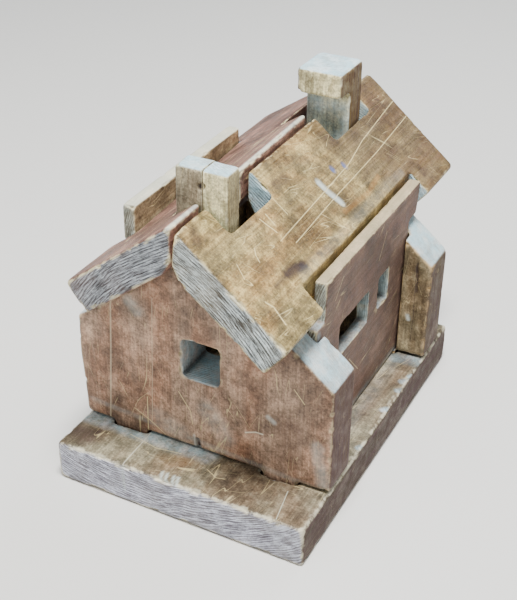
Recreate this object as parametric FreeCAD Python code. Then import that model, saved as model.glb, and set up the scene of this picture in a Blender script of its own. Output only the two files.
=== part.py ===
import FreeCAD, Part
import math
import os

# Take-apart toy house of thick, dry-fitted boards.  Millimetres, +Z up.
# The origin is the centre of the base's underside.  X runs across the gable
# ends, with the front wall on the +X side.  Y runs along the ridge, with the
# near gable on the -Y side.

# Base board, with its grain along Y.
BASE_WIDTH = 127.0
BASE_LENGTH = 180.0
BASE_THICKNESS = 21.2

# Gable boards stand across the base, flush with its two long edges.
GABLE_THICKNESS = 22.6
NEAR_MARGIN = 25.8
FAR_MARGIN = 15.2
SHOULDER_HEIGHT = 54.3
GABLE_PITCH = 39.5
GABLE_LIFT = 0.5
TENON_INNER = 30.0
TENON_OUTER = 48.0
TENON_LENGTH = 12.0
MORTISE_PLAY = 0.35

# Square window through each gable.
GABLE_WINDOW_LEFT = -10.0
GABLE_WINDOW_RIGHT = 8.6
GABLE_WINDOW_SILL = 39.1
GABLE_WINDOW_HEAD = 58.4

# Thin side walls, held in housings sawn down the gables' inner faces.
WALL_THICKNESS = 6.4
WALL_OUTER_FACE = 47.5
HOUSING_DEPTH = 7.6
HOUSING_PLAY = 0.6
HOUSING_END_PLAY = 0.5

# Front wall: low shoulders, a raised middle that stands up through the roof's
# eave notch, and two openings.
FRONT_SHOULDER_TOP = 92.5
FRONT_WING_BOTTOM = 94.4
FRONT_RAISED_TOP = 111.4
FRONT_RAISED_START = -40.0
FRONT_RAISED_END = 71.5
FRONT_WING_END = 68.5
WINDOW_SILL = 64.0
WINDOW_HEAD = 80.8
WIDE_WINDOW = (-22.5, 10.3)
NARROW_WINDOW = (22.4, 35.1)

# Back wall: the same idea, taller, with its raised part nearer the near gable.
BACK_SHOULDER_TOP = 91.0
BACK_RAISED_TOP = 129.8
BACK_RAISED_END = 48.3

# Roof panels: each rests on the gable slopes and meets the other at the ridge.
FRONT_PANEL_THICKNESS = 15.0
FRONT_PANEL_PITCH = 39.5
FRONT_PANEL_RIDGE_X = 0.5
FRONT_PANEL_EAVE_X = 42.3
FRONT_PANEL_START = -85.5
FRONT_PANEL_END = 109.0
BACK_PANEL_THICKNESS = 16.5
BACK_PANEL_PITCH = 37.5
BACK_PANEL_RIDGE_X = -0.7
BACK_PANEL_EAVE_X = -44.0
BACK_PANEL_START = -85.5
BACK_PANEL_END = 101.0
PANEL_REST_GAP = 0.25
RIDGE_CHAMFER = 4.0

# Notches in the panels: (start, end) along the ridge, and the reach from it.
FRONT_NEAR_NOTCH = (-60.3, -23.2)
FRONT_FAR_NOTCH = (43.2, 83.6)
FRONT_NOTCH_REACH = 12.8
FRONT_EAVE_NOTCH = (-49.0, 72.4)
BACK_NEAR_NOTCH = (-60.3, -27.2)
BACK_FAR_NOTCH = (39.6, 81.0)
BACK_NOTCH_REACH = -14.6
BACK_EAVE_NOTCH = (-49.8, 50.0)
EAVE_NOTCH_CLEARANCE = 0.7

# Chimneys: posts that stand in sockets cut into the gables' peaks.  The far one's
# socket is open on the gable's outer face.
SOCKET_FLOOR = 98.0
SOCKET_PLAY = 0.3
NEAR_CHIMNEY_LEFT = -13.6
NEAR_CHIMNEY_SEAM = -0.6
NEAR_CHIMNEY_RIGHT = 10.9
NEAR_CHIMNEY_START = -59.7
NEAR_CHIMNEY_DEPTH = 11.5
NEAR_CHIMNEY_TOP = 161.2
HALF_STEP = 0.35
FAR_CHIMNEY_LEFT = -11.4
FAR_CHIMNEY_RIGHT = 12.1
FAR_NECK_START = 60.2
FAR_CAP_OVERHANG = 11.4
FAR_CAP_BOTTOM = 153.2
FAR_CHIMNEY_TOP = 166.2

# Radius that a century of handling has put on the boards' edges.
THICK_EDGE_RADIUS = 1.4
THIN_EDGE_RADIUS = 0.9

# Places worked out from the sizes above.
HALF_WIDTH = BASE_WIDTH / 2
NEAR_GABLE_START = -BASE_LENGTH / 2 + NEAR_MARGIN
NEAR_GABLE_END = NEAR_GABLE_START + GABLE_THICKNESS
FAR_GABLE_END = BASE_LENGTH / 2 - FAR_MARGIN
FAR_GABLE_START = FAR_GABLE_END - GABLE_THICKNESS
SHOULDER_TOP = BASE_THICKNESS + SHOULDER_HEIGHT
GABLE_FOOT = BASE_THICKNESS + GABLE_LIFT
TENON_FOOT = BASE_THICKNESS - TENON_LENGTH
PEAK = SHOULDER_TOP + HALF_WIDTH * math.tan(math.radians(GABLE_PITCH))
WALL_INNER_FACE = WALL_OUTER_FACE - WALL_THICKNESS
WALL_START = NEAR_GABLE_END - HOUSING_DEPTH + HOUSING_END_PLAY
WALL_END = FAR_GABLE_START + HOUSING_DEPTH - HOUSING_END_PLAY
NEAR_CHIMNEY_END = NEAR_CHIMNEY_START + NEAR_CHIMNEY_DEPTH
BEYOND = 60.0


def block(x_range, y_range, z_range):
    """Box between two corners."""
    low = FreeCAD.Vector(x_range[0], y_range[0], z_range[0])
    size = [pair[1] - pair[0] for pair in (x_range, y_range, z_range)]
    return Part.makeBox(size[0], size[1], size[2], low)


def prism_along_y(outline, start, end):
    """Outline of (x, z) points, extruded from y = start to y = end."""
    points = [FreeCAD.Vector(x, start, z) for x, z in outline]
    face = Part.Face(Part.makePolygon(points + points[:1]))
    return face.extrude(FreeCAD.Vector(0, end - start, 0))


def prism_along_x(outline, start, end):
    """Outline of (y, z) points, extruded from x = start to x = end."""
    points = [FreeCAD.Vector(start, y, z) for y, z in outline]
    face = Part.Face(Part.makePolygon(points + points[:1]))
    return face.extrude(FreeCAD.Vector(end - start, 0, 0))


def ease(shape, radius, keep=None):
    """Round the edges, except those whose middle the keep test picks."""
    edges = []
    for edge in shape.Edges:
        middle = edge.valueAt((edge.FirstParameter + edge.LastParameter) / 2)
        if keep is None or not keep(middle):
            edges.append(edge)
    return shape.makeFillet(radius, edges)


def make_base():
    """Board with two blind mortises under each gable."""
    board = block((-HALF_WIDTH, HALF_WIDTH), (-BASE_LENGTH / 2, BASE_LENGTH / 2), (0, BASE_THICKNESS))
    board = ease(board, THICK_EDGE_RADIUS)
    for start in (NEAR_GABLE_START, FAR_GABLE_START):
        y_range = (start - MORTISE_PLAY, start + GABLE_THICKNESS + MORTISE_PLAY)
        for side in (-1, 1):
            ends = sorted((side * (TENON_INNER - MORTISE_PLAY), side * (TENON_OUTER + MORTISE_PLAY)))
            board = board.cut(block(ends, y_range, (TENON_FOOT, BEYOND)))
    return board


def make_gable(start, inner_side, socket_x, socket_y):
    """House-shaped board.  inner_side is +1 where its inner face looks to +Y."""
    end = start + GABLE_THICKNESS
    outline = [
        (-HALF_WIDTH, GABLE_FOOT),
        (HALF_WIDTH, GABLE_FOOT),
        (HALF_WIDTH, SHOULDER_TOP),
        (0, PEAK),
        (-HALF_WIDTH, SHOULDER_TOP),
    ]
    board = ease(prism_along_y(outline, start, end), THICK_EDGE_RADIUS)

    # Two full-thickness tenons drop into the base.
    root = GABLE_FOOT + 2 * THICK_EDGE_RADIUS
    for side in (-1, 1):
        ends = sorted((side * TENON_INNER, side * TENON_OUTER))
        board = board.fuse(block(ends, (start, end), (TENON_FOOT, root)))

    window = block(
        (GABLE_WINDOW_LEFT, GABLE_WINDOW_RIGHT),
        (start - 1, end + 1),
        (BASE_THICKNESS + GABLE_WINDOW_SILL, BASE_THICKNESS + GABLE_WINDOW_HEAD),
    )
    board = board.cut(window)

    # A housing on each side takes a wall's end, and is open at the slope.
    if inner_side > 0:
        y_range = (end - HOUSING_DEPTH, end + 1)
    else:
        y_range = (start - 1, start + HOUSING_DEPTH)
    for side in (-1, 1):
        ends = sorted((side * (WALL_INNER_FACE - HOUSING_PLAY), side * (WALL_OUTER_FACE + HOUSING_PLAY)))
        board = board.cut(block(ends, y_range, (BASE_THICKNESS, PEAK)))

    socket_x = (socket_x[0] - SOCKET_PLAY, socket_x[1] + SOCKET_PLAY)
    socket_y = (socket_y[0] - SOCKET_PLAY, socket_y[1] + SOCKET_PLAY)
    board = board.cut(block(socket_x, socket_y, (SOCKET_FLOOR, PEAK + 1)))
    return board.removeSplitter()


def cut_windows(wall, x_range):
    """Two openings through a side wall."""
    for opening in (WIDE_WINDOW, NARROW_WINDOW):
        wall = wall.cut(block(x_range, opening, (WINDOW_SILL, WINDOW_HEAD)))
    return wall


def make_front_wall():
    """Side wall whose raised part runs on over the far gable as a wing."""
    outline = [
        (WALL_START, BASE_THICKNESS),
        (WALL_END, BASE_THICKNESS),
        (WALL_END, FRONT_WING_BOTTOM),
        (FRONT_WING_END, FRONT_WING_BOTTOM),
        (FRONT_RAISED_END, FRONT_RAISED_TOP),
        (FRONT_RAISED_START, FRONT_RAISED_TOP),
        (FRONT_RAISED_START, FRONT_SHOULDER_TOP),
        (WALL_START, FRONT_SHOULDER_TOP),
    ]
    wall = prism_along_x(outline, WALL_INNER_FACE, WALL_OUTER_FACE)
    wall = ease(wall, THIN_EDGE_RADIUS)
    return cut_windows(wall, (WALL_INNER_FACE - 1, WALL_OUTER_FACE + 1))


def make_back_wall():
    """Side wall whose raised part rises straight from its near end."""
    outline = [
        (WALL_START, BASE_THICKNESS),
        (WALL_END, BASE_THICKNESS),
        (WALL_END, BACK_SHOULDER_TOP),
        (BACK_RAISED_END, BACK_SHOULDER_TOP),
        (BACK_RAISED_END, BACK_RAISED_TOP),
        (WALL_START, BACK_RAISED_TOP),
    ]
    wall = prism_along_x(outline, -WALL_OUTER_FACE, -WALL_INNER_FACE)
    wall = ease(wall, THIN_EDGE_RADIUS)
    return cut_windows(wall, (-WALL_OUTER_FACE - 1, -WALL_INNER_FACE + 1))


def make_roof_panel(side, ridge_x, eave_x, pitch, thickness, y_range):
    """Board with a plumb-cut ridge edge and a square-cut eave.

    side is +1 for the panel that falls towards +X.  eave_x is where the
    underside ends.
    """
    slope = math.tan(math.radians(pitch))
    sine = math.sin(math.radians(pitch))
    cosine = math.cos(math.radians(pitch))
    crown = PEAK + PANEL_REST_GAP
    rise = thickness / cosine

    def underside(x):
        return crown - abs(x) * slope

    outline = [
        (ridge_x, underside(ridge_x) + RIDGE_CHAMFER),
        (ridge_x + side * RIDGE_CHAMFER, underside(ridge_x + side * RIDGE_CHAMFER)),
        (eave_x, underside(eave_x)),
        (eave_x + side * thickness * sine, underside(eave_x) + thickness * cosine),
        (ridge_x, underside(ridge_x) + rise),
    ]
    return ease(prism_along_y(outline, y_range[0], y_range[1]), THICK_EDGE_RADIUS)


def cut_notches(panel, ridge_notches, reach, eave_notch, eave_edge):
    """Cut plumb notches: two for chimneys, one for a wall's raised part."""
    ridge_side = sorted((reach, -math.copysign(BEYOND, reach)))
    for notch in ridge_notches:
        panel = panel.cut(block(ridge_side, notch, (0, 4 * BEYOND)))
    eave_side = sorted((eave_edge, math.copysign(2 * BEYOND, eave_edge)))
    return panel.cut(block(eave_side, eave_notch, (0, 4 * BEYOND)))


def make_roof_front():
    panel = make_roof_panel(
        1,
        FRONT_PANEL_RIDGE_X,
        FRONT_PANEL_EAVE_X,
        FRONT_PANEL_PITCH,
        FRONT_PANEL_THICKNESS,
        (FRONT_PANEL_START, FRONT_PANEL_END),
    )
    eave_edge = WALL_INNER_FACE - EAVE_NOTCH_CLEARANCE
    ridge_notches = (FRONT_NEAR_NOTCH, FRONT_FAR_NOTCH)
    return cut_notches(panel, ridge_notches, FRONT_NOTCH_REACH, FRONT_EAVE_NOTCH, eave_edge)


def make_roof_back():
    panel = make_roof_panel(
        -1,
        BACK_PANEL_RIDGE_X,
        BACK_PANEL_EAVE_X,
        BACK_PANEL_PITCH,
        BACK_PANEL_THICKNESS,
        (BACK_PANEL_START, BACK_PANEL_END),
    )
    eave_edge = EAVE_NOTCH_CLEARANCE - WALL_INNER_FACE
    ridge_notches = (BACK_NEAR_NOTCH, BACK_FAR_NOTCH)
    return cut_notches(panel, ridge_notches, BACK_NOTCH_REACH, BACK_EAVE_NOTCH, eave_edge)


def make_near_chimney_half(x_range, step):
    """One of the two strips, set side by side, that make the near chimney."""
    y_range = (NEAR_CHIMNEY_START + step, NEAR_CHIMNEY_END)
    strip = block(x_range, y_range, (SOCKET_FLOOR, NEAR_CHIMNEY_TOP - step))

    def on_seam(point):
        return abs(point.x - NEAR_CHIMNEY_SEAM) < 0.01

    return ease(strip, THICK_EDGE_RADIUS, on_seam)


def make_far_chimney():
    """Post, flush with the gable's outer face, whose head stands out over its neck."""
    head_front = FAR_NECK_START - FAR_CAP_OVERHANG
    outline = [
        (FAR_NECK_START, SOCKET_FLOOR),
        (FAR_GABLE_END, SOCKET_FLOOR),
        (FAR_GABLE_END, FAR_CHIMNEY_TOP),
        (head_front, FAR_CHIMNEY_TOP),
        (head_front, FAR_CAP_BOTTOM),
        (FAR_NECK_START, FAR_CAP_BOTTOM),
    ]
    return ease(prism_along_x(outline, FAR_CHIMNEY_LEFT, FAR_CHIMNEY_RIGHT), THICK_EDGE_RADIUS)


def main():
    near_left = (NEAR_CHIMNEY_LEFT, NEAR_CHIMNEY_SEAM)
    near_right = (NEAR_CHIMNEY_SEAM, NEAR_CHIMNEY_RIGHT)
    near_socket_x = (NEAR_CHIMNEY_LEFT, NEAR_CHIMNEY_RIGHT)
    near_socket_y = (NEAR_CHIMNEY_START, NEAR_CHIMNEY_END)
    far_socket_x = (FAR_CHIMNEY_LEFT, FAR_CHIMNEY_RIGHT)
    far_socket_y = (FAR_NECK_START, FAR_GABLE_END)
    parts = {
        "base": make_base(),
        "near_gable": make_gable(NEAR_GABLE_START, 1, near_socket_x, near_socket_y),
        "far_gable": make_gable(FAR_GABLE_START, -1, far_socket_x, far_socket_y),
        "front_wall": make_front_wall(),
        "back_wall": make_back_wall(),
        "roof_front": make_roof_front(),
        "roof_back": make_roof_back(),
        "near_chimney_left_half": make_near_chimney_half(near_left, 0.0),
        "near_chimney_right_half": make_near_chimney_half(near_right, HALF_STEP),
        "far_chimney": make_far_chimney(),
    }
    os.makedirs("parts", exist_ok=True)
    for name, shape in parts.items():
        shape.exportStep("parts/" + name + ".step")
        print(f"{name}: solids {len(shape.Solids)}, valid {shape.isValid()}, volume {shape.Volume:.0f} mm3")
        print(f"    {shape.BoundBox}")


main()
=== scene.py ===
import math

import bmesh
import bpy
import numpy as np
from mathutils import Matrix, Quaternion, Vector


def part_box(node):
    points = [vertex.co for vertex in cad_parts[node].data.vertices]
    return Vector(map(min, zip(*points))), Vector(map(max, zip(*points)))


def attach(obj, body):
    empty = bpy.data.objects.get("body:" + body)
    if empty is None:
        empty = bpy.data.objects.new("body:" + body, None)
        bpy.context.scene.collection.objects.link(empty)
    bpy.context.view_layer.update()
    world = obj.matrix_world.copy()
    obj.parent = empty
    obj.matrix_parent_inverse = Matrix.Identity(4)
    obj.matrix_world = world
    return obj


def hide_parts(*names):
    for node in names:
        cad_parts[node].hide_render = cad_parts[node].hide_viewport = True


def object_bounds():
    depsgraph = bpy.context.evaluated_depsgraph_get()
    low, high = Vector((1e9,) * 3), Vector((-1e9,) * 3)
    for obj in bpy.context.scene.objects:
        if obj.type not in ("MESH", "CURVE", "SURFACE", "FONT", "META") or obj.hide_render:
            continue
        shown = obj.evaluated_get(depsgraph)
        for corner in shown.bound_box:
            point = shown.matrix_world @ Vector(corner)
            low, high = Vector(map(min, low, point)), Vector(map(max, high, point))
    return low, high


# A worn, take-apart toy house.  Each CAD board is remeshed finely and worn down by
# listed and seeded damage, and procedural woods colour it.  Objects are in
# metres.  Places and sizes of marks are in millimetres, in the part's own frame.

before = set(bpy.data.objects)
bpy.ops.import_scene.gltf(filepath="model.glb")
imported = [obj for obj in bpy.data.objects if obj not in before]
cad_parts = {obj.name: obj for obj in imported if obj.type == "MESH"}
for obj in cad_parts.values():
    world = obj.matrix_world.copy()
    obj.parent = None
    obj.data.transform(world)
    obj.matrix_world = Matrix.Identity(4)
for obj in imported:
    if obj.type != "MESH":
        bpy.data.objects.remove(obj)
cad_low, cad_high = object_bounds()
scene = bpy.context.scene
MM = 0.001
FRONT_ROOF_PITCH = math.radians(39.5)

# The faces that damage is drawn on: the two axes of its plane, and its outward normal.
FACES = {
    "top": ((0, 1), (0, 0, 1)),
    "near": ((0, 2), (0, -1, 0)),
    "right": ((1, 2), (1, 0, 0)),
}


# ---------------------------------------------------------------- seeded noise

def hashed(ix, iy, iz, seed):
    """A repeatable random number from 0 to 1 at each whole-number place."""
    h = ix * 374761393 + iy * 668265263 + iz * 2147483647 + seed * 974634777
    h = (h ^ (h >> 13)) * 1274126177
    h = h ^ (h >> 16)
    return (h & 0xFFFFFF).astype(np.float64) / 0xFFFFFF


def noise(points, size, seed=0, octaves=1):
    """Smooth noise from -1 to 1.  size is a cell's length in mm, one number or three."""
    scaled = points / (np.asarray(size, float) * MM)
    total = np.zeros(len(points))
    weight = 0.0
    for octave in range(octaves):
        gain = 0.55 ** octave
        p = scaled * 2 ** octave + 17.3 * octave
        cell = np.floor(p).astype(np.int64)
        f = p - cell
        f = f * f * (3 - 2 * f)
        value = 0.0
        for corner in range(8):
            step = [(corner >> axis) & 1 for axis in range(3)]
            share = 1.0
            for axis in range(3):
                share = share * (f[:, axis] if step[axis] else 1 - f[:, axis])
            value = value + share * hashed(
                cell[:, 0] + step[0], cell[:, 1] + step[1], cell[:, 2] + step[2], seed + octave
            )
        total += gain * (value * 2 - 1)
        weight += gain
    return total / weight


def ramp(values, low, high):
    """0 below low, 1 above high, smooth between."""
    t = np.clip((values - low) / (high - low), 0, 1)
    return t * t * (3 - 2 * t)


# ---------------------------------------------------------------- wearing a board

# The marks that each board's mesh carries to its material, as one number per vertex.
MARKS = ("edge", "hollow_shade", "end", "chip", "scuff", "stain_and_shadow", "tint", "ink", "grime_and_shade", "dust_and_painted_light")
FACING = ("top", "near", "right")


class Board:
    """The dense mesh of one CAD node while it is being worn."""

    def __init__(self, node, voxel, grain):
        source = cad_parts[node]
        self.node = node
        self.grain = np.asarray(grain, float)
        mesh = bmesh.new()
        mesh.from_mesh(source.data)
        bmesh.ops.remove_doubles(mesh, verts=mesh.verts, dist=1e-6)
        coarse = bpy.data.meshes.new(node + "_coarse")
        mesh.to_mesh(coarse)
        mesh.free()
        self.object = bpy.data.objects.new("worn_" + node, coarse)
        scene.collection.objects.link(self.object)
        even = self.object.modifiers.new("even", "REMESH")
        even.mode = "VOXEL"
        even.voxel_size = voxel * MM
        evaluated = self.object.evaluated_get(bpy.context.evaluated_depsgraph_get())
        dense = bpy.data.meshes.new_from_object(evaluated)
        self.object.modifiers.clear()
        self.object.data = dense
        bpy.data.meshes.remove(coarse)
        dense.name = "worn_" + node
        self.mesh = dense
        self.voxel = voxel
        self.count = len(dense.vertices)
        self.co = np.zeros(self.count * 3)
        dense.vertices.foreach_get("co", self.co)
        self.co = self.co.reshape(-1, 3)
        self.rest = self.co.copy()
        edges = np.zeros(len(dense.edges) * 2, np.int32)
        dense.edges.foreach_get("vertices", edges)
        self.edges = edges.reshape(-1, 2)
        self.degree = np.bincount(self.edges.ravel(), minlength=self.count)[:, None]
        self.marks = {}
        self.normal = self.normals()
        self.read_edges()

    def normals(self):
        values = np.zeros(self.count * 3)
        self.mesh.vertices.foreach_get("normal", values)
        return values.reshape(-1, 3)

    def blurred(self, values, rounds):
        """Values averaged with their neighbours, over and over."""
        values = values.copy()
        a, b = self.edges[:, 0], self.edges[:, 1]
        for _ in range(rounds):
            total = np.stack(
                [
                    np.bincount(a, values[b, k], self.count) + np.bincount(b, values[a, k], self.count)
                    for k in range(values.shape[1])
                ],
                axis=1,
            )
            values = 0.5 * values + 0.5 * total / self.degree
        return values

    def read_edges(self):
        """How far each vertex stands out (corners) or lies in (hollows), from 0 to 1."""
        rounds = int(22 / self.voxel)
        self.soft = self.blurred(self.co, rounds)
        inward = np.sum((self.co - self.soft) * self.normal, axis=1) / MM
        self.edge = np.clip(inward / 0.75, 0, 1)
        # How far each vertex lies in; the material gives these hollows painted shade.
        self.hollow_shade = np.clip(-inward / 0.6, 0, 1)
        smooth_normal = self.blurred(self.normal, 4)
        smooth_normal /= np.linalg.norm(smooth_normal, axis=1)[:, None] + 1e-9
        self.end = ramp(np.abs(smooth_normal @ self.grain), 0.62, 0.86)
        self.normal = smooth_normal

    def push_in(self, depth):
        """Moves the surface inwards by depth in mm."""
        self.co -= self.normal * (depth * MM)[:, None]

    def wear_edges(self, seed, strength=1.0):
        """Uneven rounding of every corner, with chips here and there."""
        patches = 0.75 + 0.75 * noise(self.rest, 14, seed, 2)
        chips = ramp(noise(self.rest, (5, 5, 4), seed + 5, 2), 0.22, 0.5)
        amount = strength * (0.55 * patches + 1.9 * chips * self.edge)
        self.co += (self.soft - self.co) * np.clip(amount, 0, 3.2)[:, None] * self.edge[:, None]
        self.marks["chip"] = chips * ramp(self.edge, 0.25, 0.6)

    def warp_surface(self, seed, face=0.16, fibre=0.10, end=0.28):
        """Uneven faces: slow dips, ridges along the grain, and rough, lined end grain."""
        slow = 0.5 + 0.5 * noise(self.rest, 26, seed, 2)
        across = 1.5
        stretch = across + (18 - across) * np.abs(self.grain)
        fibres = 0.5 + 0.5 * noise(self.rest, stretch, seed + 11, 2)
        rough = np.abs(noise(self.rest, 1.6, seed + 23, 2))
        cuts = 0.5 + 0.5 * noise(self.rest, (9, 9, 1.3) if self.grain[2] == 0 else (1.3, 9, 9), seed + 31, 2)
        side = face * slow + fibre * fibres
        ends = face * slow + end * (0.6 * rough + 0.55 * cuts)
        self.push_in(side * (1 - self.end) + ends * self.end)

    def shift(self, axis, distance):
        """Bends the whole board: moves every vertex along one axis by distance in mm."""
        self.co[:, axis] += distance * MM

    def near_line(self, points, radius, face):
        """1 on a line drawn on one face, 0 at radius mm from it.  Points are in mm."""
        axes, facing = FACES[face]
        flat = self.rest[:, axes] / MM
        points = [np.asarray(p, float) for p in points]
        nearest = np.full(self.count, 1e9)
        for start, end in zip(points, points[1:] or points):
            along = end - start
            offset = flat - start
            t = np.clip(offset @ along / max(along @ along, 1e-9), 0, 1)
            away = offset - t[:, None] * along
            nearest = np.minimum(nearest, np.hypot(away[:, 0], away[:, 1]))
        reach = ramp(radius - nearest, 0, radius * 0.8)
        return reach * (self.normal @ np.asarray(facing, float) > 0.5)

    def groove(self, face, points, width, depth=0.0, mark=None, strength=1.0, ragged=0.0):
        """A scratch, crack, nick, staining or painted shadow along a line; mark names the paint it leaves.
        """
        reach = self.near_line(points, width, face)
        if ragged > 0:
            reach = reach * (1 - ragged * (0.5 + 0.5 * noise(self.rest, 2.4, 7, 2)))
        self.push_in(depth * reach)
        if mark:
            self.paint(mark, strength * reach)

    def shade_and_grime_sides(self, amount):
        """Painted shade, with mauve grime, on the faces that look to +X and -X."""
        self.paint("grime_and_shade", amount * ramp(np.abs(self.normal[:, 0]), 0.6, 0.9) * (1 - self.end))

    def paint(self, mark, amount):
        self.marks[mark] = np.maximum(self.marks.get(mark, np.zeros(self.count)), amount)

    def finish(self, material, body, slot):
        """Writes the worn shape and its marks back, and hands the piece to its body."""
        self.mesh.vertices.foreach_set("co", self.co.ravel())
        self.marks["edge"] = self.edge
        self.marks["hollow_shade"] = self.hollow_shade
        self.marks["end"] = self.end
        for face in FACING:
            self.marks[face] = ramp(self.normal @ np.asarray(FACES[face][1], float), 0.4, 0.6)
        for name in MARKS + FACING:
            values = self.marks.get(name, np.zeros(self.count)).astype(np.float32)
            self.mesh.attributes.new(name, "FLOAT", "POINT").data.foreach_set("value", values)
        self.mesh.polygons.foreach_set("use_smooth", np.ones(len(self.mesh.polygons), bool))
        self.mesh.update()
        self.mesh.materials.clear()
        self.mesh.materials.append(material)
        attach(self.object, body)
        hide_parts(self.node)
        return self.object


# ---------------------------------------------------------------- materials

def tone(red, green, blue):
    """A colour given as it looks on a screen, from 0 to 255, as shader values."""
    values = [c / 255 for c in (red, green, blue)]
    return [c / 12.92 if c <= 0.04045 else ((c + 0.055) / 1.055) ** 2.4 for c in values] + [1.0]


class Shader:
    """Short calls for writing one material's nodes."""

    def __init__(self, name):
        self.material = bpy.data.materials.new(name)
        self.material.use_nodes = True
        self.tree = self.material.node_tree
        self.tree.nodes.clear()
        place = self.node("ShaderNodeTexCoord").outputs["Object"]
        self.place = self.vector("MULTIPLY", place, (1000, 1000, 1000))

    def node(self, kind, inputs=None, **settings):
        made = self.tree.nodes.new(kind)
        for key, value in settings.items():
            setattr(made, key, value)
        for key, value in (inputs or {}).items():
            if isinstance(value, bpy.types.NodeSocket):
                self.tree.links.new(value, made.inputs[key])
            else:
                made.inputs[key].default_value = value
        return made

    def vector(self, operation, a, b):
        return self.node("ShaderNodeVectorMath", {0: a, 1: b}, operation=operation).outputs[0]

    def math(self, operation, a, b=0.0):
        made = self.node("ShaderNodeMath", {0: a, 1: b}, operation=operation)
        return made.outputs[0]

    def ramp(self, value, low, high, start=0.0, end=1.0):
        inputs = {"Value": value, "From Min": low, "From Max": high, "To Min": start, "To Max": end}
        made = self.node("ShaderNodeMapRange", inputs, interpolation_type="SMOOTHSTEP")
        return made.outputs["Result"]

    def mix(self, factor, a, b, blend="MIX"):
        inputs = {0: factor, 6: a, 7: b}
        made = self.node("ShaderNodeMix", inputs, data_type="RGBA", blend_type=blend)
        return made.outputs[2]

    def noise(self, scale, detail=3.0, roughness=0.55, shift=(0, 0, 0)):
        """Noise over the piece; scale is cells per mm along each axis."""
        place = self.vector("ADD", self.vector("MULTIPLY", self.place, scale), shift)
        inputs = {"Vector": place, "Scale": 1.0, "Detail": detail, "Roughness": roughness}
        return self.node("ShaderNodeTexNoise", inputs).outputs["Fac"]

    def mark(self, name):
        return self.node("ShaderNodeAttribute", attribute_name=name).outputs["Fac"]

    def scratches(self, direction, seed, width, share):
        """Thin, slightly curved lines along a direction, broken off in patches."""
        run = np.asarray(direction, float)
        run = run / np.linalg.norm(run)
        side = np.cross(run, (0.3, 0.5, 0.8))
        side = side / np.linalg.norm(side)
        places = []
        for axis, scale in ((run, 0.013), (side, 0.15), (np.cross(run, side), 0.15)):
            inputs = {0: self.place, 1: axis * scale}
            dot = self.node("ShaderNodeVectorMath", inputs, operation="DOT_PRODUCT")
            places.append(dot.outputs["Value"])
        turned = self.node("ShaderNodeCombineXYZ", dict(enumerate(places))).outputs[0]
        turned = self.vector("ADD", turned, (seed * 1.7, seed * 2.9, seed * 0.7))
        inputs = {"Vector": turned, "Scale": 1.0, "Detail": 1.0, "Roughness": 0.3}
        field = self.node("ShaderNodeTexNoise", inputs).outputs["Fac"]
        line = self.math("ABSOLUTE", self.math("SUBTRACT", field, 0.5))
        thin = self.ramp(line, width, width * 0.3)
        patches = self.noise((0.06, 0.06, 0.06), 2.0, 0.5, shift=(seed, -seed, 2 * seed))
        return self.math("MULTIPLY", thin, self.ramp(patches, share, share + 0.1))

    def stroke(self, face, points, width):
        """1 on a line drawn on one face through points in mm."""
        axes = FACES[face][0]
        flat = self.vector("MULTIPLY", self.place, [float(k in axes) for k in range(3)])
        corners = []
        for point in points:
            corner = np.zeros(3)
            corner[list(axes)] = point
            corners.append(corner)
        nearest = None
        for start, end in zip(corners, corners[1:]):
            run = end - start
            offset = self.vector("SUBTRACT", flat, start)
            inputs = {0: offset, 1: run / (run @ run)}
            share = self.node("ShaderNodeVectorMath", inputs, operation="DOT_PRODUCT").outputs["Value"]
            inputs = {0: share, 1: 1.0}
            share = self.node("ShaderNodeMath", inputs, operation="MULTIPLY", use_clamp=True).outputs[0]
            foot = self.node("ShaderNodeVectorMath", {0: run, "Scale": share}, operation="SCALE").outputs[0]
            away = self.vector("SUBTRACT", offset, foot)
            away = self.node("ShaderNodeVectorMath", {0: away}, operation="LENGTH").outputs["Value"]
            nearest = away if nearest is None else self.math("MINIMUM", nearest, away)
        return self.ramp(nearest, width * 0.65, width * 0.25)


def along(axis, across, lengthwise):
    """Three numbers: one along the grain's axis, the other across it."""
    return tuple(lengthwise if k == axis else across for k in range(3))


PALE_SCRATCH = (234, 214, 158)
SOOT_AND_SHADOW = (46, 32, 36)
DUST_AND_LIGHT = (180, 216, 228)
GRIME_AND_SHADE = (76, 54, 54)
BLUE = (92, 104, 150)
SCUFF = (202, 212, 206)
RUST = (172, 116, 50)


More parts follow.
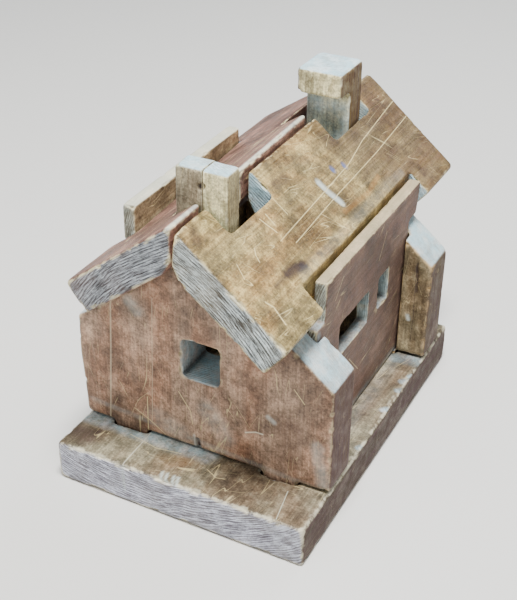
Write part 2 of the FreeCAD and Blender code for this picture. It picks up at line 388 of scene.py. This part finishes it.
def wood(name, axis, pith, tones, spacing, rings, blush, gloss, wear_and_highlight, seed, lay=(), strokes=()):
    """Old bare wood.  The rings are cylinders round the pith, so faces and ends agree.

    axis is the grain's direction (1 is Y, 2 is Z); pith is a point in mm on the
    tree's centre line; tones holds seven colours: pale, middle, dark, blush, worn
    corner and painted highlight, and the pale and dark of the end grain.  spacing is
    from ring to ring in mm.  rings, blush and wear_and_highlight say how strongly
    each shows, and gloss is the roughness.  lay holds the directions of the fine
    scratches; strokes are the single ones: face, points, width, strength, colour.
    """
    pale, middle, dark, warm, worn, end_pale, end_dark = (tone(*t) for t in tones)
    s = Shader(name)
    shift = (seed * 7.1, seed * 3.7, seed * 5.3)
    swapped = (shift[1], shift[2], shift[0])

    # Growth rings.
    bend = s.noise(along(axis, 0.03, 0.009), 2.0, 0.5, shift=shift)
    bend = s.math("MULTIPLY", s.math("SUBTRACT", bend, 0.5), 26.0)
    centred = s.vector("SUBTRACT", s.place, pith)
    flat = s.vector("MULTIPLY", centred, along(axis, 1.0, 0.0))
    radius = s.node("ShaderNodeVectorMath", {0: flat}, operation="LENGTH").outputs["Value"]
    phase = s.math("FRACT", s.math("DIVIDE", s.math("ADD", radius, bend), spacing))
    late = s.math("MULTIPLY", s.ramp(phase, 0.35, 0.9), s.ramp(phase, 1.0, 0.90))

    # Fibres, pores and slow changes of colour.
    fibre = s.noise(along(axis, 0.85, 0.024), 4.0, 0.6, shift=shift)
    pores = s.noise(along(axis, 3.6, 0.12), 2.0, 0.5, shift=shift)
    cloud = s.noise(along(axis, 0.05, 0.018), 4.0, 0.6, shift=shift)
    patch = s.noise((0.030, 0.030, 0.030), 5.0, 0.62, shift=swapped)
    mottle = s.noise((0.15, 0.15, 0.15), 5.0, 0.68, shift=shift)
    grime = s.noise((0.085, 0.085, 0.085), 6.0, 0.72, shift=swapped)
    grit = s.noise((0.95, 0.95, 0.95), 3.0, 0.7, shift=swapped)

    colour = s.mix(s.ramp(fibre, 0.32, 0.70, 0.35, 0.7), pale, middle)
    colour = s.mix(s.math("MULTIPLY", late, rings), colour, dark)
    colour = s.mix(s.math("MULTIPLY", s.ramp(cloud, 0.38, 0.66), blush), colour, warm)
    colour = s.mix(s.ramp(patch, 0.45, 0.70, 0.0, 0.5), colour, dark)
    colour = s.mix(s.ramp(mottle, 0.50, 0.72, 0.0, 0.42), colour, pale)
    colour = s.mix(s.ramp(pores, 0.58, 0.72, 0.0, 0.30), colour, dark)
    colour = s.mix(s.ramp(grime, 0.58, 0.70, 0.0, 0.55), colour, dark)
    colour = s.mix(s.ramp(grit, 0.56, 0.74, 0.0, 0.35), colour, dark)
    colour = s.mix(s.ramp(grit, 0.42, 0.26, 0.0, 0.30), colour, pale)

    # Light and dark streaks, blotches and flecks over the whole colour.
    shade = s.ramp(fibre, 0.34, 0.66, 1.12, 0.88)
    shade = s.math("MULTIPLY", shade, s.ramp(mottle, 0.38, 0.60, 0.70, 1.22))
    shade = s.math("MULTIPLY", shade, s.ramp(grit, 0.30, 0.70, 1.26, 0.74))
    shade = s.math("MULTIPLY", shade, s.ramp(grime, 0.38, 0.62, 1.14, 0.80))
    shade = s.math("MULTIPLY", shade, s.ramp(patch, 0.36, 0.64, 1.16, 0.76))
    colour = s.mix(1.0, colour, shade, "MULTIPLY")

    # A mauve, grimier skin and a pale dust lie over some faces, unevenly; the mauve also paints the shade on
    # the faces that look to +X and -X.
    grime_and_shade = s.math("MULTIPLY", s.mark("grime_and_shade"), s.ramp(mottle, 0.25, 0.6, 0.6, 1.0))
    colour = s.mix(grime_and_shade, colour, s.mix(s.ramp(fibre, 0.35, 0.65), tone(*GRIME_AND_SHADE), dark))

    # Scratches, pale where the surface was torn, fewer under the grime and painted shade.
    torn = s.scratches(along(axis, 0.05, 1.0), 3.1 + seed, 0.007, 0.51)
    for k, direction in enumerate(lay):
        more = s.scratches(direction, 11.3 * (k + 1) + seed, 0.005, 0.51)
        torn = s.math("MAXIMUM", torn, more)
    torn = s.math("MULTIPLY", torn, s.ramp(grime_and_shade, 0.0, 1.0, 1.0, 0.3))
    colour = s.mix(s.math("MULTIPLY", torn, 0.5), colour, tone(*PALE_SCRATCH))

    # End grain: greyed, and streaked with broken dark lines that follow the rings.
    end = s.mark("end")
    parts = s.node("ShaderNodeSeparateXYZ", {0: centred}).outputs
    angle = s.math("ARCTAN2", parts[3 - axis], parts[0])
    inputs = {0: s.math("MULTIPLY", radius, 1.9), 1: s.math("MULTIPLY", angle, 12.0)}
    inputs[2] = s.math("MULTIPLY", parts[axis], 0.2)
    round_the_pith = s.node("ShaderNodeCombineXYZ", inputs).outputs[0]
    inputs = {"Vector": round_the_pith, "Scale": 1.0, "Detail": 5.0, "Roughness": 0.72}
    speckle = s.node("ShaderNodeTexNoise", inputs).outputs["Fac"]
    broken = s.ramp(s.noise((0.22, 0.22, 0.22), 4.0, 0.7, shift=swapped), 0.36, 0.58)
    fine = s.math("FRACT", s.math("DIVIDE", s.math("ADD", radius, s.math("MULTIPLY", bend, 0.4)), 1.25))
    line = s.math("MULTIPLY", s.ramp(fine, 0.30, 0.75), s.ramp(fine, 1.0, 0.85))
    end_relief = s.math("SUBTRACT", s.math("MULTIPLY", speckle, 1.6), s.math("MULTIPLY", line, 0.6))
    ends = s.mix(s.ramp(speckle, 0.36, 0.60), end_dark, end_pale)
    ends = s.mix(1.0, ends, s.ramp(mottle, 0.34, 0.66, 0.72, 1.18), "MULTIPLY")
    ends = s.mix(s.math("MULTIPLY", s.math("MULTIPLY", line, broken), 0.8), ends, end_dark)
    ends = s.mix(s.ramp(grit, 0.55, 0.7, 0.0, 0.5), ends, end_dark)
    ends = s.mix(s.ramp(patch, 0.42, 0.72, 0.0, 0.35), ends, middle)
    colour = s.mix(end, colour, ends)
    # Pale blue-grey dust, and painted light on faces turned up and on lit sills and jambs.
    dust_and_painted_light = s.math("MULTIPLY", s.mark("dust_and_painted_light"), s.ramp(grime, 0.62, 0.42, 0.45, 1.0))
    dust_and_painted_light = s.math("MULTIPLY", dust_and_painted_light, s.ramp(grit, 0.62, 0.42, 0.72, 1.0))
    colour = s.mix(dust_and_painted_light, colour, s.mix(s.ramp(mottle, 0.4, 0.7), tone(*DUST_AND_LIGHT), end_pale))

    # Marks laid down with the shape: worn corners with painted highlights, painted shade in hollows, scuffs,
    # stains and painted shadows.
    # Painted highlight and wear: convex corners are paled unevenly with the worn tone.
    rub_and_highlight = s.math("MULTIPLY", s.mark("edge"), s.ramp(mottle, 0.32, 0.62, 0.35, 1.0))
    colour = s.mix(s.math("MULTIPLY", s.ramp(rub_and_highlight, 0.42, 1.0), wear_and_highlight), colour, worn)
    colour = s.mix(s.math("MULTIPLY", s.mark("chip"), 0.6), colour, worn)
    # Painted shade: the hollows are darkened.
    colour = s.mix(s.math("MULTIPLY", s.mark("hollow_shade"), 0.6), colour, tone(52, 42, 36))
    colour = s.mix(s.math("MULTIPLY", s.mark("tint"), 0.7), colour, tone(*RUST))
    colour = s.mix(s.mark("ink"), colour, tone(*BLUE))
    colour = s.mix(s.mark("stain_and_shadow"), colour, tone(*SOOT_AND_SHADOW))
    colour = s.mix(s.mark("scuff"), colour, tone(*SCUFF))
    drawn = None
    for face, points, width, strength, shade in strokes:
        drawing = s.math("MULTIPLY", s.stroke(face, points, width), s.mark(face))
        drawing = s.math("MULTIPLY", drawing, s.ramp(grit, 0.30, 0.55, strength * 0.45, strength))
        colour = s.mix(drawing, colour, tone(*shade))
        drawn = drawing if drawn is None else s.math("MAXIMUM", drawn, drawing)

    rough = s.ramp(mottle, 0.3, 0.7, gloss - 0.08, gloss + 0.12)
    rough = s.math("ADD", rough, s.math("MULTIPLY", s.math("MAXIMUM", end, grime_and_shade), 0.2))
    height = s.math("MULTIPLY", fibre, 0.7)
    height = s.math("ADD", height, s.math("MULTIPLY", grit, 0.5))
    for groove, depth in ((pores, 0.3), (late, 0.18), (torn, 0.3), (drawn, 0.5)):
        if groove is not None:
            height = s.math("SUBTRACT", height, s.math("MULTIPLY", groove, depth))
    height = s.math("MULTIPLY", height, s.math("SUBTRACT", 1.0, end))
    height = s.math("ADD", height, s.math("MULTIPLY", end_relief, end))
    bump = s.node("ShaderNodeBump", {"Height": height, "Strength": 0.8, "Distance": 0.00045})
    inputs = {"Base Color": colour, "Roughness": rough, "Normal": bump.outputs[0]}
    skin = s.node("ShaderNodeBsdfPrincipled", inputs)
    skin.inputs["Specular IOR Level"].default_value = 0.25
    s.node("ShaderNodeOutputMaterial", {"Surface": skin.outputs[0]})
    return s.material


def base_wood(strokes):
    tones = ((152, 146, 122), (116, 106, 84), (66, 54, 42), (120, 86, 60), (218, 210, 184))
    ends = ((218, 222, 236), (92, 86, 94))
    lay = ((0.3, 1, 0), (1, 0.3, 0))
    return wood("base_wood", 1, (-20, 0, 140), tones + ends, 4.2, 0.25, 0.5, 0.56, 0.75, 1.0, lay, strokes)


def gable_wood(name, tones, strokes):
    ends = ((214, 222, 222), (134, 134, 130))
    lay = ((0.4, 0, 1), (-0.5, 0, 1))
    return wood(name, 2, (18, -190, 0), tones + ends, 5.2, 0.18, 0.6, 0.5, 0.55, 2.0, lay, strokes)


def wall_wood(name, tones, strokes):
    ends = ((204, 210, 196), (92, 88, 76))
    lay = ((0, 1, 0.9), (0, 1, 0.4))
    return wood(name, 1, (150, 0, 70), tones + ends, 3.0, 0.25, 0.5, 0.52, 0.7, 3.0, lay, strokes)


def front_roof_wood(strokes):
    tones = ((178, 160, 108), (140, 118, 76), (58, 42, 30), (142, 98, 48), (228, 214, 168))
    ends = ((190, 200, 200), (42, 38, 36))
    lay = ((0.3, 1, -0.25), (0.8, 0.6, -0.66))
    pith = (-62, 0, 20)
    return wood("front_roof_wood", 1, pith, tones + ends, 4.4, 0.22, 0.6, 0.40, 0.65, 4.0, lay, strokes)


def back_roof_wood(strokes):
    tones = ((158, 124, 108), (122, 90, 78), (70, 48, 42), (112, 70, 62), (232, 220, 176))
    ends = ((178, 184, 190), (44, 40, 42))
    lay = ((0.15, 1, 0.12), (0.5, 1, 0.4))
    return wood("back_roof_wood", 1, (60, 0, 20), tones + ends, 3.8, 0.26, 0.5, 0.44, 0.7, 5.0, lay, strokes)


def brown_chimney_wood():
    tones = ((168, 162, 136), (134, 124, 100), (78, 66, 48), (128, 100, 74), (214, 214, 184))
    ends = ((216, 230, 230), (134, 136, 128))
    return wood("brown_chimney_wood", 2, (-60, -20, 0), tones + ends, 2.8, 0.35, 0.35, 0.5, 0.6, 6.0)


def yellow_chimney_wood(name, seed):
    tones = ((244, 238, 192), (212, 200, 148), (112, 90, 56), (176, 142, 90), (246, 242, 212))
    ends = ((220, 238, 246), (146, 150, 150))
    return wood(name, 2, (50, 20, 0), tones + ends, 3.0, 0.35, 0.35, 0.58, 0.6, seed)


# ---------------------------------------------------------------- the boards

ALONG_Y = (0, 1, 0)
ALONG_Z = (0, 0, 1)


def worn_base():
    board = Board("base", 0.85, ALONG_Y)
    board.wear_edges(101, 1.1)
    board.warp_surface(102, face=0.3, fibre=0.12, end=0.5)
    board.shade_and_grime_sides(1.0)
    _, high = (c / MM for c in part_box("base"))
    board.groove("top", [(0, -30), (0, 40)], 34, 0.0, "dust_and_painted_light", 0.6, 0.2)
    dusty = (([(-62, -66), (4, -66)], 0.62), ([(50, -38), (50, 48)], 0.12), ([(50, 48), (62, 50)], 0.5))
    for line, strength in dusty:
        board.groove("top", line, 7.0, 0.0, "dust_and_painted_light", strength, 0.6)
    # Painted shadow: soft dark strips over the right of the top, one near the front and one along its
    # length.
    board.groove("top", [(22, -76), (58, -76)], 15, 0.0, "stain_and_shadow", 0.3, 0.6)
    board.groove("top", [(55, -36), (55, 46)], 10, 0.0, "stain_and_shadow", 0.4, 0.6)
    board.groove("near", [(-27.5, high.z), (-26.8, 6)], 0.9, 0.4, "scuff", 0.4)
    for x in (-9, -6.5, -3, -0.8):
        board.groove("top", [(x, -84.5), (x + 1.6, -90)], 0.95, 0.5, "scuff", 0.75)
    board.groove("top", [(-48, -64), (-48.4, -71), (-51, -76)], 1.8, 0.3, "stain_and_shadow", 0.55, 0.6)
    # Painted shadow: a dark mauve patch at the near left corner of the top.
    board.groove("top", [(-63, -75), (-52, -80)], 9, 0.0, "grime_and_shade", 0.8, 0.6)
    board.groove("top", [(-12, -78), (-2, -72)], 7, 0.0, "tint", 0.3, 0.8)
    for y, reach in ((-28.0, 4.2), (4.0, 5.4), (22.0, 4.6), (30.0, 6.0), (36.0, 3.0)):
        nick = [(high.x - reach * 0.4, y), (high.x, y + 2.2)]
        board.groove("top", nick, reach * 0.5, 0.7, "dust_and_painted_light", 0.9, 0.35)
    for height, start, end in ((14.5, -58, -12), (7.0, -30, 40), (11.8, 20, 60), (17, -5, 30)):
        board.groove("near", [(start, height), (end, height - 1.0)], 0.7, 0.35, "stain_and_shadow", 0.22, 0.7)
    strokes = [
        ("top", [(-28.2, -64), (-27.5, -90)], 0.55, 0.75, (208, 204, 186)),
        ("top", [(46.3, -70), (49.6, -88)], 0.5, 0.7, (200, 200, 180)),
        ("top", [(-36, -69), (-20, -72), (-8, -70)], 0.45, 0.5, PALE_SCRATCH),
        ("top", [(8, -74), (14, -77), (18, -76)], 0.45, 0.6, PALE_SCRATCH),
    ]
    board.finish(base_wood(strokes), "base", "base_wood")


def cloak_gable(board):
    """The slopes, sills and tops are pale with dust and painted light; the broad edges get painted shade and
    grime.
    """
    board.shade_and_grime_sides(1.0)
    above_base = board.rest[:, 2] > 22 * MM
    upward = ramp(board.normal[:, 2], 0.45, 0.75) * above_base
    board.paint("dust_and_painted_light", 0.85 * upward)


def worn_near_gable():
    board = Board("near_gable", 0.65, ALONG_Z)
    board.wear_edges(111, 1.0)
    board.warp_surface(112, face=0.16, fibre=0.05)
    place = board.rest / MM
    bulge = ramp(place[:, 2], 24, 60) * ramp(place[:, 2], 120, 78) * ramp(place[:, 0], -52, -63)
    board.shift(0, -1.5 * bulge)
    cloak_gable(board)
    window_reach, window_low, window_high = 12, 58, 82
    in_window = (place[:, 2] > window_low) * (place[:, 2] < window_high)
    in_window = in_window * (np.abs(place[:, 0]) < window_reach)
    # Painted light: inside the window, the jamb that faces +X is paled and loses its painted shade.
    board.paint("dust_and_painted_light", 0.6 * in_window * ramp(board.normal[:, 0], 0.5, 0.8))
    board.marks["grime_and_shade"] *= 1 - in_window * (board.normal[:, 0] > 0)
    board.groove("near", [(0.4, 52), (-0.6, 38), (-1.1, 22)], 0.7, 0.35, "stain_and_shadow", 0.35, 0.7)
    board.groove("near", [(-2.8, 27), (-2.2, 22)], 1.5, 1.4, "stain_and_shadow", 0.8)
    board.groove("near", [(-4.4, 29), (-3.9, 22)], 1.0, 0.0, "scuff", 0.45, 0.3)
    board.groove("near", [(-36, 92), (-32, 88)], 5, 0.1, "scuff", 0.35, 0.95)
    board.groove("near", [(3, 46), (12, 34)], 8, 0.0, "scuff", 0.26, 0.95)
    board.groove("near", [(-25, 33), (-12, 28)], 8, 0.0, "scuff", 0.22, 0.95)
    board.groove("near", [(33, 53), (36, 51)], 1.8, 0.2, "scuff", 0.6, 0.6)
    board.groove("near", [(57, 45), (60, 26)], 5, 0.1, "scuff", 0.34, 0.9)
    board.groove("near", [(-60, 30), (60, 22)], 2.2, 0.0, "scuff", 0.22, 0.8)
    board.groove("near", [(44, 50), (42, 30)], 9, 0.0, "grime_and_shade", 0.55, 0.9)
    strokes = [
        ("near", [(-45.7, 92), (-47.6, 60), (-50.2, 23)], 0.9, 0.55, (206, 190, 160)),
        ("near", [(-24, 97), (-26.7, 29)], 0.5, 0.5, (202, 184, 154)),
        ("near", [(-36, 33), (-28, 29), (-20, 23.5)], 0.5, 0.65, PALE_SCRATCH),
        ("near", [(-28.9, 42), (-29.2, 21)], 0.5, 0.7, PALE_SCRATCH),
        ("near", [(-12, 51), (-6, 42), (-5, 35)], 0.5, 0.6, PALE_SCRATCH),
        ("near", [(22, 40.5), (27, 42.5), (30.5, 42.6)], 0.8, 0.75, (226, 220, 196)),
        ("near", [(45, 72), (50, 66)], 0.5, 0.6, PALE_SCRATCH),
    ]
    tones = ((168, 142, 120), (136, 108, 88), (80, 58, 44), (138, 92, 64), (206, 188, 150))
    board.finish(gable_wood("near_gable_wood", tones, strokes), "near_gable", "gable_wood")


def worn_far_gable():
    board = Board("far_gable", 0.7, ALONG_Z)
    board.wear_edges(121, 1.1)
    board.warp_surface(122, face=0.16, fibre=0.05)
    cloak_gable(board)
    board.groove("near", [(55.6, 76), (56.6, 60)], 0.7, 0.7, "stain_and_shadow", 0.8)
    board.groove("near", [(53, 45), (53.6, 43)], 1.5, 0.2, "scuff", 0.7)
    strokes = [("near", [(55.4, 74), (56.0, 46), (55.6, 30)], 0.45, 0.6, SOOT_AND_SHADOW)]
    tones = ((176, 164, 132), (142, 126, 98), (84, 70, 48), (142, 108, 74), (208, 172, 118))
    board.finish(gable_wood("far_gable_wood", tones, strokes), "far_gable", "gable_wood")


def worn_wall(node, seed, grime_and_shade):
    """A thin wall with a pale rubbed top edge and roughly chopped window openings."""
    board = Board(node, 0.55, ALONG_Y)
    board.wear_edges(seed, 1.0)
    board.warp_surface(seed + 1, face=0.12, fibre=0.08, end=0.5)
    board.shade_and_grime_sides(grime_and_shade)
    place = board.rest / MM
    height = place[:, 2]
    top = height.max()
    # Upward faces: paled below the top as dust and painted light, and at the top as a chipped edge.
    sills = (board.normal[:, 2] > 0.5) * (height > 60)
    board.paint("dust_and_painted_light", 0.45 * sills * (height < top - 3))
    board.paint("chip", 0.75 * sills * (height > top - 3))
    window_low, window_high, window_reach = 62, 82, 40
    jambs = ramp(np.abs(board.normal[:, 1]), 0.5, 0.8) * (height > window_low) * (height < window_high)
    board.paint("dust_and_painted_light", 0.5 * jambs * (np.abs(place[:, 1]) < window_reach))
    board.push_in(0.55 * jambs * np.abs(noise(board.rest, 3.0, seed + 3, 2)))
    return board


def worn_front_wall():
    board = worn_wall("front_wall", 131, 0.55)
    board.groove("right", [(-48, 88), (-44, 40), (-46, 22)], 5, 0.0, "dust_and_painted_light", 0.5, 0.5)
    board.groove("right", [(-45, 22), (56, 22)], 5, 0.0, "dust_and_painted_light", 0.35, 0.6)
    strokes = [
        ("right", [(10.5, 64.5), (30, 70), (52, 71)], 0.45, 0.6, SOOT_AND_SHADOW),
        ("right", [(-30, 98), (-22, 106)], 0.45, 0.5, PALE_SCRATCH),
        ("right", [(20, 92), (28, 104)], 0.45, 0.5, PALE_SCRATCH),
        ("right", [(-10, 55), (2, 42)], 0.45, 0.45, PALE_SCRATCH),
    ]
    tones = ((150, 124, 106), (120, 96, 80), (72, 54, 44), (118, 78, 64), (214, 200, 158))
    board.finish(wall_wood("front_wall_wood", tones, strokes), "front_wall", "wall_wood")


def worn_back_wall():
    board = worn_wall("back_wall", 141, 0.12)
    along_top = board.rest[:, 2] > 125 * MM
    board.paint("scuff", 0.4 * (board.normal[:, 2] > 0.5) * along_top)
    tones = ((190, 172, 136), (156, 136, 102), (88, 68, 48), (142, 106, 74), (230, 220, 184))
    board.finish(wall_wood("back_wall_wood", tones, ()), "back_wall", "wall_wood")


def cloak_roof(board):
    """The end grain in the notches is pale with dust."""
    along_ridge = board.rest[:, 1] / MM
    ends = board.end * (along_ridge > along_ridge.min() + 6) * (along_ridge < along_ridge.max() - 6)
    board.paint("dust_and_painted_light", 0.8 * ends)


def worn_roof_front():
    board = Board("roof_front", 0.62, ALONG_Y)
    board.wear_edges(151, 1.15)
    board.warp_surface(152, face=0.3, fibre=0.08, end=0.6)
    cloak_roof(board)

    # The near end is sawn askew: the foot of the end face stands out past its top.
    place = board.rest / MM
    low, high = (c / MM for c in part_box("roof_front"))
    top_z = high.z - (place[:, 0] - low.x) * math.tan(FRONT_ROOF_PITCH)
    board.shift(1, -0.16 * np.clip(top_z - place[:, 2], 0, 20) * ramp(place[:, 1], low.y + 14, low.y))
    drift = 14 * noise(board.rest, 30, 155, 2)
    board.paint("grime_and_shade", 0.6 * ramp(place[:, 1] - 0.5 * place[:, 0] + drift, 14, 48))
    board.groove("top", [(20.4, 9.1), (25, 9.7), (30.4, 11.6)], 2.7, 0.45, "scuff", 0.9, 0.35)
    for x, y in ((19.9, 24.3), (21.7, 33.6)):
        board.groove("top", [(x, y), (x + 0.3, y)], 2.2, 0.5, "ink", 0.85)
    board.groove("top", [(36.4, -39), (35.2, -45), (34.4, -52)], 3.2, 0.1, "stain_and_shadow", 1.0, 0.25)
    board.groove("top", [(34.4, -52), (34.6, -62)], 1.8, 0.0, "stain_and_shadow", 0.85, 0.5)
    board.groove("top", [(37.4, -27), (37.6, -25)], 1.8, 0.0, "stain_and_shadow", 0.8, 0.5)
    board.groove("top", [(11.3, -7), (11.1, -17)], 2.8, 0.0, "stain_and_shadow", 0.7, 0.7)
    board.groove("top", [(8, -79), (4.5, -75)], 3.8, 0.0, "stain_and_shadow", 0.6, 0.9)
    board.groove("top", [(33.3, 49), (35, 33), (33.6, 8)], 1.6, 0.0, "tint", 0.5, 0.5)
    board.groove("top", [(39, -45), (39, 66)], 4.0, 0.0, "scuff", 0.12, 0.8)
    for x, y in ((9, 8), (27, -62), (14, -52), (40, -76), (17, 74), (32, 78)):
        board.groove("top", [(x, y), (x + 2, y + 5)], 4.5, 0.0, "stain_and_shadow", 0.42, 0.9)
    strokes = [
        ("top", [(16.4, 107), (19.6, 60), (22.5, 37), (23.2, 19), (25.4, -40)], 0.40, 0.62, PALE_SCRATCH),
        ("top", [(24.3, 107), (26.5, 62), (27.7, 8), (29.3, -33)], 0.40, 0.62, PALE_SCRATCH),
        ("top", [(35.6, -73.6), (38.5, -72), (44.7, -73.7)], 0.8, 0.8, PALE_SCRATCH),
        ("top", [(21.4, -56), (23.2, -58.4), (25.6, -59.5)], 0.5, 0.8, PALE_SCRATCH),
        ("top", [(15.7, -40.5), (22.5, -38)], 0.6, 0.85, PALE_SCRATCH),
        ("top", [(15.8, -35.3), (20.1, -35.4)], 0.6, 0.85, PALE_SCRATCH),
        ("top", [(13.4, -24.2), (20.6, -24)], 0.5, 0.7, PALE_SCRATCH),
        ("top", [(21.1, -70.8), (26.1, -73.4)], 0.5, 0.6, PALE_SCRATCH),
    ]
    board.finish(front_roof_wood(strokes), "roof_front", "front_roof_wood")


def worn_roof_back():
    board = Board("roof_back", 0.62, ALONG_Y)
    board.wear_edges(161, 1.15)
    board.warp_surface(162, face=0.3, fibre=0.08, end=0.6)
    cloak_roof(board)

    # The board has warped: its far end stands up, most of all at the eave.
    ridge = board.rest[:, 0] / MM
    lifted = ramp(board.rest[:, 1] / MM, -55, 60)
    board.shift(2, lifted * (1.2 + 4.6 * np.clip(-ridge / 50, 0, 1)))
    board.paint("scuff", 0.5 * ramp(ridge, -4.2, -2.2) * ramp(board.normal[:, 2], 0.3, 0.7))
    strokes = [
        ("top", [(-30, -84), (-26, -40), (-28, 20)], 0.5, 0.5, PALE_SCRATCH),
        ("top", [(-18, -84), (-15, -60)], 0.5, 0.5, PALE_SCRATCH),
        ("top", [(-8, -20), (-10, 38)], 0.5, 0.5, PALE_SCRATCH),
        ("top", [(-16, -22), (-14, 36)], 0.5, 0.5, PALE_SCRATCH),
    ]
    board.finish(back_roof_wood(strokes), "roof_back", "back_roof_wood")


def worn_near_chimney():
    left = Board("near_chimney_left_half", 0.4, ALONG_Z)
    right = Board("near_chimney_right_half", 0.4, ALONG_Z)
    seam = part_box("near_chimney_right_half")[0].x
    for board, seed in ((left, 171), (right, 181)):
        from_seam = np.abs(board.rest[:, 0] - seam) / MM
        board.wear_edges(seed, 0.9 * (0.15 + 0.85 * ramp(from_seam, 0.8, 3.5)))
        board.warp_surface(seed + 1, face=0.12, fibre=0.08, end=0.3)
        # The tops are paled as dust and painted light.
        board.paint("dust_and_painted_light", 0.8 * ramp(board.normal[:, 2], 0.4, 0.8))
        board.groove("near", [(-1.4, 153.4), (-0.8, 153.8)], 2.1, 1.2, "stain_and_shadow", 0.95)
    right.shade_and_grime_sides(0.55)
    left.finish(brown_chimney_wood(), "near_chimney", "brown_chimney_wood")
    right.finish(yellow_chimney_wood("near_chimney_yellow_wood", 7.0), "near_chimney", "yellow_chimney_wood")


def worn_far_chimney():
    board = Board("far_chimney", 0.45, ALONG_Z)
    height = board.rest[:, 2] / MM
    board.wear_edges(191, 1.2 + 1.1 * ramp(height, 149, 155))
    board.warp_surface(192, face=0.25, fibre=0.12, end=0.3)
    board.shade_and_grime_sides(1.0)
    # The tops are paled as dust and painted light.
    board.paint("dust_and_painted_light", 0.95 * ramp(board.normal[:, 2], 0.4, 0.8))
    # Painted light and shadow: the front of the neck is paled, less and less up towards the cap, so the
    # cap's shadow stays dark.
    neck = (board.normal[:, 1] < -0.5) * (height < 153)
    board.paint("dust_and_painted_light", 0.6 * neck * ramp(height, 152, 146))
    board.finish(yellow_chimney_wood("far_chimney_wood", 8.0), "far_chimney", "yellow_chimney_wood")


# ---------------------------------------------------------------- the studio

def plain_material(name, colour, roughness):
    material = bpy.data.materials.new(name)
    material.use_nodes = True
    skin = material.node_tree.nodes["Principled BSDF"]
    skin.inputs["Base Color"].default_value = colour
    skin.inputs["Roughness"].default_value = roughness
    return material


def studio():
    floor_reach = 4
    mesh = bmesh.new()
    bmesh.ops.create_grid(mesh, x_segments=1, y_segments=1, size=floor_reach)
    data = bpy.data.meshes.new("floor")
    mesh.to_mesh(data)
    mesh.free()
    floor = bpy.data.objects.new("floor", data)
    scene.collection.objects.link(floor)
    data.materials.append(plain_material("pale_floor", tone(222, 220, 216), 0.8))

    world = bpy.data.worlds.new("soft_room")
    world.use_nodes = True
    world.node_tree.nodes["Background"].inputs["Color"].default_value = (0.86, 0.92, 1.0, 1)
    world.node_tree.nodes["Background"].inputs["Strength"].default_value = 0.36
    scene.world = world

    # Each lamp: name, place from the middle of the house in metres, size, watts, colour.
    middle = (cad_low + cad_high) / 2
    lamps = (
        ("key", (0.15, -0.25, 1.1), 0.35, 33.0, (1.0, 1.0, 0.98)),
        ("fill", (-0.5, -1.1, 0.35), 0.9, 5.0, (1.0, 0.97, 0.94)),
        ("back", (0.2, 0.9, 0.9), 0.7, 7.0, (0.90, 0.96, 1.0)),
    )
    for name, place, size, power, colour in lamps:
        data = bpy.data.lights.new(name, "AREA")
        data.shape = "DISK"
        data.size = size
        data.energy = power
        data.color = colour
        lamp = bpy.data.objects.new(name, data)
        scene.collection.objects.link(lamp)
        lamp.location = middle + Vector(place)
        lamp.rotation_mode = "QUATERNION"
        lamp.rotation_quaternion = (-Vector(place)).to_track_quat("-Z", "Y")


def camera():
    """The photograph's view: from above, to the right of the near gable."""
    azimuth, elevation, roll = (math.radians(a) for a in (27.0, 32.2, 0.7))
    target, distance = Vector((-0.005, 0.0, 0.066)), 0.55
    back = Vector(
        (
            math.sin(azimuth) * math.cos(elevation),
            -math.cos(azimuth) * math.cos(elevation),
            math.sin(elevation),
        )
    )
    data = bpy.data.cameras.new("camera")
    data.lens = 68.6
    data.clip_start = 0.01
    shown = bpy.data.objects.new("camera", data)
    scene.collection.objects.link(shown)
    shown.location = target + back * distance
    shown.rotation_mode = "QUATERNION"
    level = (-back).to_track_quat("-Z", "Y")
    shown.rotation_quaternion = level @ Quaternion((0, 0, 1), roll)
    scene.camera = shown


worn_base()
worn_near_gable()
worn_far_gable()
worn_front_wall()
worn_back_wall()
worn_roof_front()
worn_roof_back()
worn_near_chimney()
worn_far_chimney()
studio()
camera()
